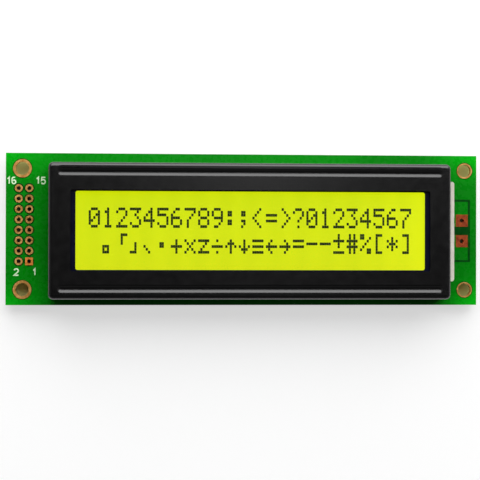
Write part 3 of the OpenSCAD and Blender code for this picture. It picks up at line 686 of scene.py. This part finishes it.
# %% Outline of the supply copper
SKIN, OUTLINE_WIDTH = 0.008 * MM, 0.55 * MM
OUTLINE_RIGHT, OUTLINE_REACH = 0.3 * MM, 3.45 * MM
lower_land, upper_land = supply_lands
outline_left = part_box("backlight_housing")[1][0]
outline_right = upper_land[1].x + OUTLINE_RIGHT
outline_low, outline_high = lower_land[0].y - OUTLINE_REACH, upper_land[1].y + OUTLINE_REACH
gap_y, gap_width = (lower_land[1].y + upper_land[0].y) / 2, upper_land[0].y - lower_land[1].y
gaps = bmesh.new()
strip(gaps, [(outline_left, outline_high), (outline_right, outline_high), (outline_right, outline_low),
             (outline_left, outline_low)], OUTLINE_WIDTH, front, front + SKIN)
strip(gaps, [(outline_left, gap_y), (outline_right, gap_y)], gap_width, front, front + SKIN / 2)
piece_from("copper_gaps", gaps, gap_green)

# %% [markdown]
# ## Tracks and vias on the back
# The back carries the wiring: a bus from the header to the controller under the left drop of epoxy, buses on to
# the two drivers, and a fan of lines from each drop to the rows of contacts on the front. Each line of a fan ends
# in a via. The tracks turn by 45 degrees, as board designers lay them, because that keeps the spacing even in a
# bend. The outer column of the header takes the lanes between the pins of the inner one, so the lines reach the
# controller in the order in which they leave the header.

# %% Copper for the tracks
TRACK, THICK = 0.3 * MM, 0.03 * MM
track_green = finish("track_green", (0.003, 0.32, 0.024), (0.005, 0.46, 0.036), 0.5, (0.2, 0.3), 4.0, 1.5,
                     Specular_IOR_Level=0.4)
back = board_low.z
drops = [[Vector(c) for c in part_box(n)] for n in ("controller_cover", "segment_driver_cover", "end_driver_cover")]
drop_y = (drops[0][0].y + drops[0][1].y) / 2
tracks = bmesh.new()


def track(path):
    """A copper line on the back, from points in metres."""
    strip(tracks, path, TRACK, back - THICK, back)


def bend_to(start, end, run):
    """A path that leaves start along X, turns by 45 degrees to reach end's Y, and goes on along X."""
    rise = abs(end[1] - start[1])
    return [start, (start[0] + run, start[1]), (start[0] + run + rise, end[1]), end]


# %% Bus from the header to the controller
BUS_PITCH, BUS_REACH = 0.62 * MM, 1.6 * MM      # the reach is how far the lines run in under the epoxy
SIDE_STEP = 0.6 * MM            # where a line of the outer column leaves its land, along X and Y
INNER_START, LANE_START = -0.1 * MM, 0.3 * MM   # where the straight runs start, from the land's edge
INNER_RUN, LANE_RUN, STAGGER = 1.0 * MM, 0.9 * MM, 0.5 * MM
bus_end = drops[0][0].x + BUS_REACH
lands = sorted(header_lands, key=lambda b: (round(b[0].y, 5), b[0].x))
half_pitch = (lands[2][0].y - lands[0][0].y) / 2
inner_edge = lands[1][1].x
row_count = len(lands) // 2
for k, (lo, hi) in enumerate(lands):
    row, inner = divmod(k, 2)
    x, y = (lo.x + hi.x) / 2, (lo.y + hi.y) / 2
    order = k - 1 if inner else k + 1
    end = (bus_end, drop_y + (order - (len(lands) - 1) / 2) * BUS_PITCH)
    stagger = STAGGER * abs(row - (row_count - 1) / 2)
    if inner:
        track(bend_to((hi.x + INNER_START, y), end, INNER_RUN + stagger))
    else:
        lane = y + half_pitch
        track([(x + SIDE_STEP, y + SIDE_STEP), (x + half_pitch, lane)]
              + bend_to((inner_edge + LANE_START, lane), end, LANE_RUN + stagger))
print(len(lands), "lines run to x =", round(bus_end / MM, 2), "mm")

# %% Buses between the drops
LINK_TRACKS, LINK_PITCH, LINK_REACH = 10, 0.75 * MM, 1.5 * MM
for left_drop, right_drop in zip(drops, drops[1:]):
    for k in range(LINK_TRACKS):
        y = drop_y + (k - (LINK_TRACKS - 1) / 2) * LINK_PITCH
        track([(left_drop[1].x - LINK_REACH, y), (right_drop[0].x + LINK_REACH, y)])
print(LINK_TRACKS, "lines between each two of the", len(drops), "drops")

# %% Fans from the drops to the vias
FAN, LEVEL, LEVEL_STEP = 18, 11.4 * MM, 0.9 * MM    # lines in a fan, and the two levels of its vias
NEAR_PITCH, RIM_REACH, TURN_ROOM = 0.58 * MM, 0.4 * MM, 0.9 * MM
LAST_RUN, CHIP_ROOM = 0.3 * MM, 0.5 * MM
chips = [b for n in ("bias_resistors", "oscillator_resistor", "supply_capacitors") for b in solids_of(n)]
via_points = []
for lo, hi in drops:
    middle_x, middle_y, radius = (lo.x + hi.x) / 2, (lo.y + hi.y) / 2, (hi.x - lo.x) / 2
    turn = radius + TURN_ROOM
    spare = (LEVEL - turn - LAST_RUN) / ((FAN - 1) / 2)
    for sense in (1, -1):
        for k in range(FAN):
            offset = k - (FAN - 1) / 2
            near, far = offset * NEAR_PITCH, offset * (NEAR_PITCH + spare)
            level = LEVEL + (k % 2) * LEVEL_STEP
            x = middle_x + far
            if any(a.x - CHIP_ROOM < x < b.x + CHIP_ROOM and turn < sense * a.y < level for a, b in chips):
                continue
            rim = math.sqrt(radius ** 2 - near ** 2) - RIM_REACH
            heights = (rim, turn, turn + abs(far - near), level)
            track([(middle_x + dx, middle_y + sense * y) for dx, y in zip((near, near, far, far), heights)])
            via_points.append((x, middle_y + sense * level, back - THICK / 2))
piece_from("rear_tracks", tracks, track_green)

# %% Vias
grow("rear_vias", tree_rings, via_points, track_green, "solder_mask", Radius=0.30 * MM, Wall=0.11 * MM,
     Flatness=0.35, Sides=16.0)

# %% [markdown]
# ## Rings and fillets on the back
# A white ring is printed round each drop of epoxy: it marks how far the drop may flow. The chip parts are held by
# solder, which climbs their ends in a hollow curve. Each fillet is a short sweep of that curve, as wide as the cap
# it wets, and it is lower at its two sides than in its middle.

# %% White rings
RING_ROOM, RING_WIDTH, RING_THICK, RING_SIDES = 0.55 * MM, 0.22 * MM, 0.01 * MM, 96
rings = bmesh.new()
for lo, hi in drops:
    radius = (hi.x - lo.x) / 2 + RING_ROOM
    loop = arc((lo.x + hi.x) / 2, (lo.y + hi.y) / 2, radius, radius, 0, 360, RING_SIDES)[:-1]
    strip(rings, loop, RING_WIDTH, back - THICK - RING_THICK, back, closed=True)
piece_from("rear_rings", rings, ink)

# %% Solder fillets
FILLET_REACH, STEPS = 0.5 * MM, 6
CLIMB, SIDE_SHARE, INSET = 0.7, 0.55, 0.02      # shares of the cap's height, the fillet's height, the cap's width
quarter = [math.pi / 2 * i / STEPS for i in range(STEPS + 1)]
bodies = [b for n in ("bias_resistors", "oscillator_resistor", "backlight_resistors", "supply_capacitors")
          for b in solids_of(n)]
fillets = bmesh.new()
for lo, hi in solids_of("chip_end_caps"):
    middle = (lo + hi) / 2
    body = min(bodies, key=lambda b: ((b[0] + b[1]) / 2 - middle).length)
    away = middle - (body[0] + body[1]) / 2
    along = 0 if abs(away.x) > abs(away.y) else 1
    across = 1 - along
    sense, start = (1, hi[along]) if away[along] > 0 else (-1, lo[along])
    height = CLIMB * (hi.z - lo.z)
    profile = [(0.0, 0.0)] + [(FILLET_REACH * (1 - math.cos(a)), height * (1 - math.sin(a))) for a in quarter]
    sections = []
    for t in range(STEPS + 1):
        u = t / STEPS
        swell = SIDE_SHARE + (1 - SIDE_SHARE) * math.sin(math.pi * u) ** 0.5
        section = []
        for out, up in profile:
            place = Vector((0.0, 0.0, back - up * swell))
            place[along] = start + sense * out * swell
            place[across] = lo[across] + (hi[across] - lo[across]) * (INSET + (1 - 2 * INSET) * u)
            section.append(fillets.verts.new(place))
        sections.append(section)
    for a, b in zip(sections, sections[1:]):
        for k in range(len(profile)):
            n = (k + 1) % len(profile)
            fillets.faces.new((a[k], a[n], b[n], b[k]))
    fillets.faces.new(sections[0])
    fillets.faces.new(sections[-1])
piece_from("solder_fillets", fillets, tin)

# %% [markdown]
# ## Floor, light and camera
# The module lies on its back on a white table. The floor's own colour is a middle grey, and whoever looks at it,
# straight or in a mirroring surface, sees a little glow on top. So the table shows white and still keeps a soft
# shadow, and no extra light falls on the module. The glow stops under the board. The floor there is painted dark as
# shade, with a painted pool of olive light below each of the four mounting holes, where light comes down past the
# gold and through the green laminate.
#
# The sky is darker overhead than at the horizon, and brighter beyond the module's upper edge than before its
# lower one. The flat bezel mirrors what is overhead, so it stays black, and each bead and bend mirrors the wide
# lamp beyond the upper edge in one clean line. A small weak lamp almost overhead gives the bezel its faint sheen.

# %% The floor's colours
OPEN_BAND = 0.6         # how far the floor's light reaches under the board's edge, in millimetres
HOLE_LIGHT, HOLE_REACH = (0.66, 0.64, 0.24, 1), (2.0, 2.4)
floor_finish, tree, shader, vector = new_material("floor")
place = axes_of(tree, vector)
open_floor = math_node(tree, "MAXIMUM", *(
    spread(tree, math_node(tree, "ABSOLUTE", place[axis]), 0.0, 1.0, board_half[axis] - OPEN_BAND, board_half[axis])
    for axis in (0, 1)))
hole_centres = [(lo + hi) / 2 / MM for lo, hi in mount_rings]
fold = tree.nodes.new("ShaderNodeCombineXYZ")       # lays the four corners of the board on one
one_hole = Vector((0, 0, 0))
for axis in (0, 1):
    first, last = min(c[axis] for c in hole_centres), max(c[axis] for c in hole_centres)
    one_hole[axis] = (last - first) / 2
    from_middle = math_node(tree, "SUBTRACT", place[axis], (first + last) / 2)
    tree.links.new(math_node(tree, "ABSOLUTE", from_middle), fold.inputs[axis])
# painted light: an olive pool on the floor below each mounting hole
below_hole = spread(tree, distance_to(tree, fold.outputs["Vector"], one_hole), 1.0, 0.0, *HOLE_REACH)
# painted shade: the floor under the board is dark
floor_grey_and_painted_shade = ramp(tree, open_floor, (0.0, (0.22, 0.19, 0.14)), (1.0, (0.45, 0.45, 0.45)))
tree.links.new(blend(tree, below_hole, floor_grey_and_painted_shade, HOLE_LIGHT), shader.inputs["Base Color"])
print("four patches of light under the holes", [round(c, 2) for c in one_hole[:2]], "mm from the middle")

# %% The floor's glow
GLOW = 0.60
path = tree.nodes.new("ShaderNodeLightPath")
mirrored = math_node(tree, "MAXIMUM", path.outputs["Is Glossy Ray"], path.outputs["Is Transmission Ray"])
seen = math_node(tree, "MAXIMUM", path.outputs["Is Camera Ray"], mirrored)
glow = math_node(tree, "MULTIPLY", math_node(tree, "MULTIPLY", seen, GLOW), open_floor)
tree.links.new(glow, shader.inputs["Emission Strength"])
shader.inputs["Emission Color"].default_value = (1, 1, 1, 1)
shader.inputs["Roughness"].default_value = 0.9
shader.inputs["Specular IOR Level"].default_value = 0.1
plane = bpy.data.meshes.new("floor")
plane.from_pydata([(x, y, 0) for x, y in ((-3, -3), (3, -3), (3, 3), (-3, 3))], [], [(0, 1, 2, 3)])
plane.materials.append(floor_finish)
floor = bpy.data.objects.new("floor", plane)
bpy.context.collection.objects.link(floor)
print("floor glows", GLOW, "outside", [round(2 * c, 1) for c in board_half[:2]], "mm")

# %% Sky
world = bpy.data.worlds.new("studio")
world.use_nodes = True
tree = world.node_tree
heading = axes_of(tree, tree.nodes.new("ShaderNodeTexCoord").outputs["Generated"])
background = tree.nodes["Background"]
SKY_GREYS = ((0.0, 0.30), (0.50, 0.30), (0.85, 0.12), (0.97, 0.02))     # height of a direction, and its grey
sky = ramp(tree, heading["Z"], *((height, (grey,) * 3) for height, grey in SKY_GREYS))
tree.links.new(sky, background.inputs["Color"])
tree.links.new(spread(tree, heading["Y"], 0.45, 1.3, -0.2, 0.7), background.inputs["Strength"])
bpy.context.scene.world = world


# %% Lamps
def lamp(name, place, width, height, watts):
    """A soft rectangular lamp that points at the module."""
    data = bpy.data.lights.new(name, "AREA")
    data.shape = "RECTANGLE"
    data.size, data.size_y = width, height
    data.energy = watts
    light = bpy.data.objects.new(name, data)
    light.matrix_world = Matrix.Translation(place) @ Vector(place).to_track_quat("Z", "Y").to_matrix().to_4x4()
    bpy.context.collection.objects.link(light)
    print(name, "lamp of", watts, "W at", place)


lamp("key", (0.06, 0.46, 0.38), 1.0, 0.72, 7.8)
lamp("sheen", (0.05, 0.080, 0.60), 0.08, 0.03, 0.034)

# %% Camera
DISTANCE, LENS, SENSOR, SHIFT = 0.4, 122.1, 36.0, (-0.0079, -0.0215)
YAW, PITCH, ROLL = (math.radians(a) for a in (4.8, -0.5, -0.14))
turn = Matrix.Rotation(ROLL, 3, "Z") @ Matrix.Rotation(PITCH, 3, "X") @ Matrix.Rotation(YAW, 3, "Y")
aim = Vector((0, 0, board_high.z))
camera_data = bpy.data.cameras.new("camera")
camera_data.lens, camera_data.sensor_width = LENS, SENSOR
camera_data.shift_x, camera_data.shift_y = SHIFT
camera = bpy.data.objects.new("camera", camera_data)
back_turn = turn.transposed()
camera.matrix_world = Matrix.Translation(aim + back_turn @ Vector((0, 0, DISTANCE))) @ back_turn.to_4x4()
bpy.context.collection.objects.link(camera)
bpy.context.scene.camera = camera
bpy.context.scene.view_settings.view_transform = "Standard"
print("camera at", [round(c, 3) for c in camera.matrix_world.translation])
